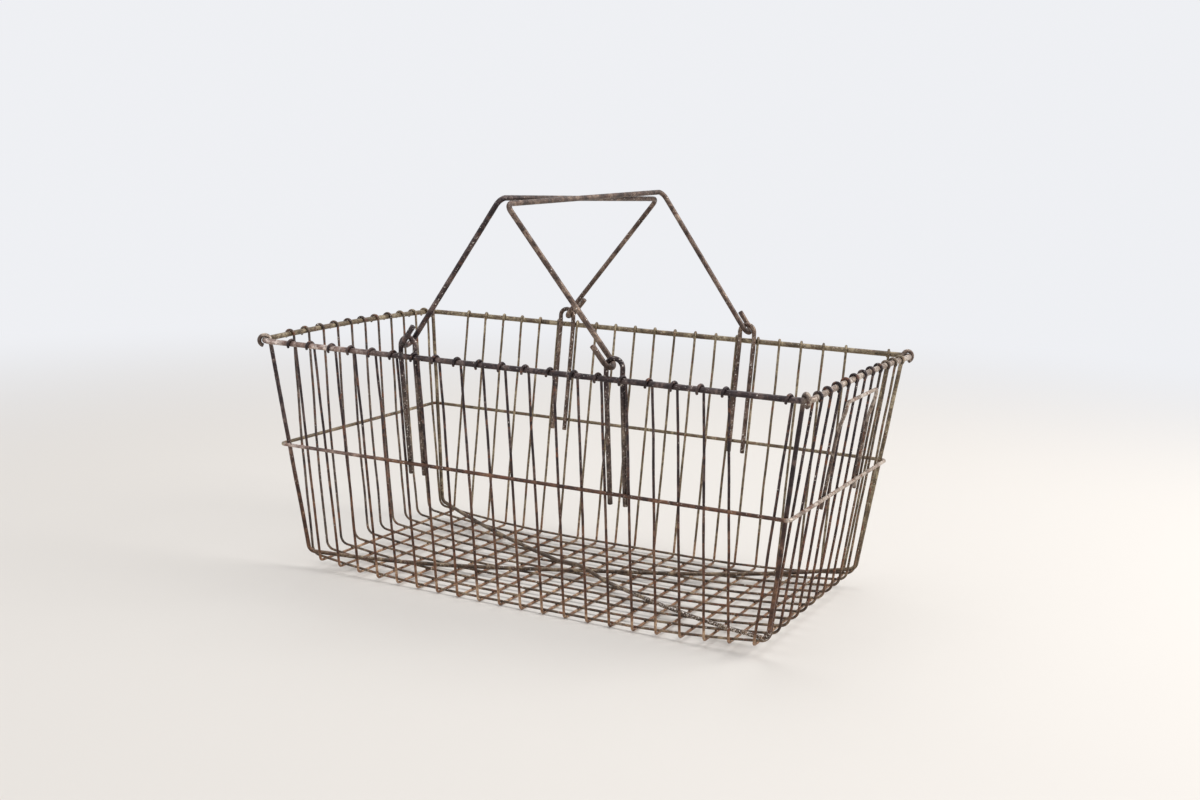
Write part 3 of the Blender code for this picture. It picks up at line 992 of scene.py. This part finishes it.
def add_handle(node, first_rib, sign, front_bend, material):
    """sign is -1 for the left handle and 1 for the right."""
    ends = []
    corners = []
    for side in (-1, 1):
        corner = Vector(
            (
                sign * bar_offset + side * HANDLE_BAR_SKEW,
                side * (rim_y - loop_inset - HANDLE_HOOK_RADIUS),
                RIM_HEIGHT + HANDLE_BAR_RISE + sign * side * HANDLE_BAR_TILT,
            )
        )
        if side < 0:
            corner += front_bend
        ends.append(handle_end(handle_pivot(first_rib, side), corner, side))
        corners.append(corner)
    front, back = ends
    bar = rounded(
        [front[-1], *corners, back[-1]], [HANDLE_CORNER_RADIUS, HANDLE_CORNER_RADIUS]
    )
    wire(node, front[:-1] + bar + back[-2::-1], HANDLE_WIRE, node, material,
         sides=20, swell=0.02)


add_handle("left_handle", LOOP_RIB_LEFT, -1, LEFT_CORNER_BEND, left_handle_steel)
add_handle("right_handle", LOOP_RIB_RIGHT, 1, RIGHT_CORNER_BEND, right_handle_steel)

# Bracket: its legs stand beside the short ribs and jog outward over them near the top
leg_setback = RIB_WIRE / 2 - BRACKET_WIRE / 2
bar_outset = RIB_WIRE / 2 + GAP + BRACKET_WIRE / 2 - BRACKET_SINK


def bracket_leg(rib, top_offset, foot_offset):
    """The points of one leg, each offset along the wall from the short rib beside it."""

    def rib_y(z):
        return blend(short_rib_foot(rib, 1), short_rib_hook(rib, 1)[-1], z).y

    heights = [BRACKET_FOOT, BRACKET_JOG_START, BRACKET_JOG_END, BRACKET_TOP]
    outsets = [leg_setback, leg_setback, bar_outset, bar_outset]
    foot_y = rib_y(BRACKET_FOOT) + foot_offset
    top_y = rib_y(BRACKET_TOP) + top_offset
    points = []
    for z, outset in zip(heights, outsets):
        share = (z - BRACKET_FOOT) / (BRACKET_TOP - BRACKET_FOOT)
        points.append(Vector((side_x(z) + outset, foot_y + (top_y - foot_y) * share, z)))
    return points


front_leg = bracket_leg(BRACKET_FRONT_RIB, BRACKET_FRONT_TOP_OFFSET, BRACKET_FRONT_FOOT_OFFSET)
back_leg = bracket_leg(BRACKET_BACK_RIB, BRACKET_BACK_TOP_OFFSET, BRACKET_BACK_FOOT_OFFSET)
jog_radii = [BRACKET_JOG_RADIUS, BRACKET_JOG_RADIUS]
top_radii = [BRACKET_CORNER_RADIUS, BRACKET_CORNER_RADIUS]
bracket_path = rounded(front_leg + back_leg[::-1], jog_radii + top_radii + jog_radii)
wire("end_bracket", bracket_path, BRACKET_WIRE, "basket", bracket_steel,
     sides=14, swell=0.03)


# Welds: small beads where wires cross
def beads(name, places):
    """One piece of flattened lumps, each given in places by its centre and radii."""
    rng = random.Random(name)
    verts = []
    faces = []
    for centre, radii in places:
        first = len(verts)
        turn = rng.random() * math.pi
        for k in range(BEAD_RINGS + 1):
            polar = math.pi * k / BEAD_RINGS
            for j in range(BEAD_SIDES):
                around = 2 * math.pi * j / BEAD_SIDES + turn
                lump = 1 + BEAD_UNEVENNESS * rng.uniform(-1, 1)
                verts.append(
                    (
                        centre[0] + lump * radii[0] * math.sin(polar) * math.cos(around),
                        centre[1] + lump * radii[1] * math.sin(polar) * math.sin(around),
                        centre[2] + radii[2] * math.cos(polar),
                    )
                )
        for k in range(BEAD_RINGS):
            a = first + k * BEAD_SIDES
            b = a + BEAD_SIDES
            for j in range(BEAD_SIDES):
                i = (j + 1) % BEAD_SIDES
                faces.append((a + j, b + j, b + i, a + i))
    mesh = bpy.data.meshes.new(name)
    mesh.from_pydata(verts, [], faces)
    mesh.polygons.foreach_set("use_smooth", [True] * len(faces))
    piece(name, mesh, "basket", None, weld_steel)


floor_beads = []
for number in range(1, LONG_RIB_COUNT + 1):
    front = long_rib_foot(number, -1)
    back = long_rib_foot(number, 1)
    for y in short_rib_ys[1:-1]:
        x = front.x + (back.x - front.x) * (y - front.y) / (back.y - front.y)
        z = (long_rib_height + short_rib_height) / 2 + rise(x)
        floor_beads.append(((x, y, z), FLOOR_BEAD))
beads("floor_welds", floor_beads)

band_beads = []
for number in range(1, LONG_RIB_COUNT + 1):
    for side in (-1, 1):
        at = blend(long_rib_foot(number, side), long_rib_top(number, side), BAND_HEIGHT)
        band_beads.append(
            ((at.x, at.y + side * BAND_BEAD_OUTSET, BAND_HEIGHT), LONG_WALL_BEAD)
        )
for number in range(1, SHORT_RIB_COUNT + 1):
    for side in (-1, 1):
        at = short_rib_at_band(number, side)
        band_beads.append(
            ((at.x + side * BAND_BEAD_OUTSET, at.y, BAND_HEIGHT), SHORT_WALL_BEAD)
        )
beads("band_welds", band_beads)

loop_beads = []
for first_rib in (LOOP_RIB_LEFT, LOOP_RIB_RIGHT):
    for side in (-1, 1):
        half = arch_radius(first_rib, side)
        top_x = loop_middle(first_rib, side, RIM_HEIGHT).x
        top_y = side * (rim_y - LOOP_RIM_BEAD_INSET)
        low_x = loop_middle(first_rib, side, BAND_HEIGHT).x
        low_y = side * (rim_y - loop_inset - wall_slope * (RIM_HEIGHT - BAND_HEIGHT))
        low_y += side * LOOP_BAND_BEAD_OUTSET
        for hand in (-1, 1):
            top = (top_x + hand * half, top_y, RIM_HEIGHT + LOOP_RIM_BEAD_RISE)
            low = (low_x + hand * LOOP_BAND_BEAD_SPREAD / 2, low_y, BAND_HEIGHT)
            loop_beads += [(top, LOOP_RIM_BEAD), (low, LOOP_BAND_BEAD)]
beads("loop_welds", loop_beads)

# Floor, backdrop and light
BACKDROP = (0.86, 0.87, 0.90)
FLOOR_COLOUR = (0.72, 0.69, 0.65)
FLOOR_ROUGHNESS = 0.7
FLOOR_REACH = 12.0
FADE_START = 0.55
FADE_END = 1.6
LIGHT_AIM = (0, 0, 0.1)
WORLD_COLOUR = (0.98, 0.98, 1.0)
WORLD_STRENGTH = 0.55


def seen_rays(nodes, links):
    """1 for camera, glossy and transmission rays, and 0 for the light that falls on things."""
    rays = nodes.new("ShaderNodeLightPath")
    value = rays.outputs["Is Camera Ray"]
    for other in ("Is Glossy Ray", "Is Transmission Ray"):
        larger = nodes.new("ShaderNodeMath")
        larger.operation = "MAXIMUM"
        links.new(value, larger.inputs[0])
        links.new(rays.outputs[other], larger.inputs[1])
        value = larger.outputs[0]
    return value


def add_floor():
    """A pale floor that fades into the backdrop away from the basket."""
    mesh = bpy.data.meshes.new("floor")
    r = FLOOR_REACH
    mesh.from_pydata([(-r, -r, 0), (r, -r, 0), (r, r, 0), (-r, r, 0)], [], [(0, 1, 2, 3)])
    material = bpy.data.materials.new("floor")
    material.use_nodes = True
    nodes = material.node_tree.nodes
    links = material.node_tree.links
    shader = nodes["Principled BSDF"]
    shader.inputs["Base Color"].default_value = (*FLOOR_COLOUR, 1)
    shader.inputs["Roughness"].default_value = FLOOR_ROUGHNESS
    coords = nodes.new("ShaderNodeTexCoord")
    distance = nodes.new("ShaderNodeVectorMath")
    distance.operation = "LENGTH"
    links.new(coords.outputs["Object"], distance.inputs[0])
    fade = nodes.new("ShaderNodeMapRange")
    fade.interpolation_type = "SMOOTHSTEP"
    fade.inputs["From Min"].default_value = FADE_START
    fade.inputs["From Max"].default_value = FADE_END
    links.new(distance.outputs["Value"], fade.inputs["Value"])
    share = nodes.new("ShaderNodeMath")
    share.operation = "MULTIPLY"
    links.new(fade.outputs["Result"], share.inputs[0])
    links.new(seen_rays(nodes, links), share.inputs[1])
    far = nodes.new("ShaderNodeEmission")
    far.inputs["Color"].default_value = (*BACKDROP, 1)
    far.inputs["Strength"].default_value = 1.0
    mixer = nodes.new("ShaderNodeMixShader")
    links.new(share.outputs[0], mixer.inputs["Fac"])
    links.new(shader.outputs["BSDF"], mixer.inputs[1])
    links.new(far.outputs["Emission"], mixer.inputs[2])
    links.new(mixer.outputs["Shader"], nodes["Material Output"].inputs["Surface"])
    mesh.materials.append(material)
    obj = bpy.data.objects.new("floor", mesh)
    bpy.context.scene.collection.objects.link(obj)


def soft_light(name, place, size, watts, colour=(1, 1, 1)):
    """A rectangular light that faces the basket."""
    data = bpy.data.lights.new(name, "AREA")
    data.shape = "RECTANGLE"
    data.size, data.size_y = size
    data.energy = watts
    data.color = colour
    light = bpy.data.objects.new(name, data)
    light.location = place
    direction = Vector(LIGHT_AIM) - Vector(place)
    light.rotation_euler = direction.to_track_quat("-Z", "Y").to_euler()
    bpy.context.scene.collection.objects.link(light)


def set_world():
    """Even light from all round, with the backdrop's colour where it is seen."""
    world = bpy.data.worlds.new("world")
    bpy.context.scene.world = world
    world.use_nodes = True
    nodes = world.node_tree.nodes
    links = world.node_tree.links
    surround = nodes["Background"]
    surround.inputs["Color"].default_value = (*WORLD_COLOUR, 1)
    surround.inputs["Strength"].default_value = WORLD_STRENGTH
    seen = nodes.new("ShaderNodeBackground")
    seen.inputs["Color"].default_value = (*BACKDROP, 1)
    seen.inputs["Strength"].default_value = 1.0
    mixer = nodes.new("ShaderNodeMixShader")
    links.new(seen_rays(nodes, links), mixer.inputs["Fac"])
    links.new(surround.outputs["Background"], mixer.inputs[1])
    links.new(seen.outputs["Background"], mixer.inputs[2])
    links.new(mixer.outputs["Shader"], nodes["World Output"].inputs["Surface"])


add_floor()
soft_light("key_light", place=(1.5, 0.5, 1.3), size=(1.0, 1.0), watts=25,
           colour=(1.0, 0.98, 0.96))
soft_light("top_light", place=(-0.3, 0.5, 2.2), size=(1.6, 1.6), watts=17)
soft_light("fill_light", place=(-0.9, -1.8, 1.0), size=(1.2, 1.0), watts=6)
set_world()

bpy.context.scene.view_settings.view_transform = "Standard"
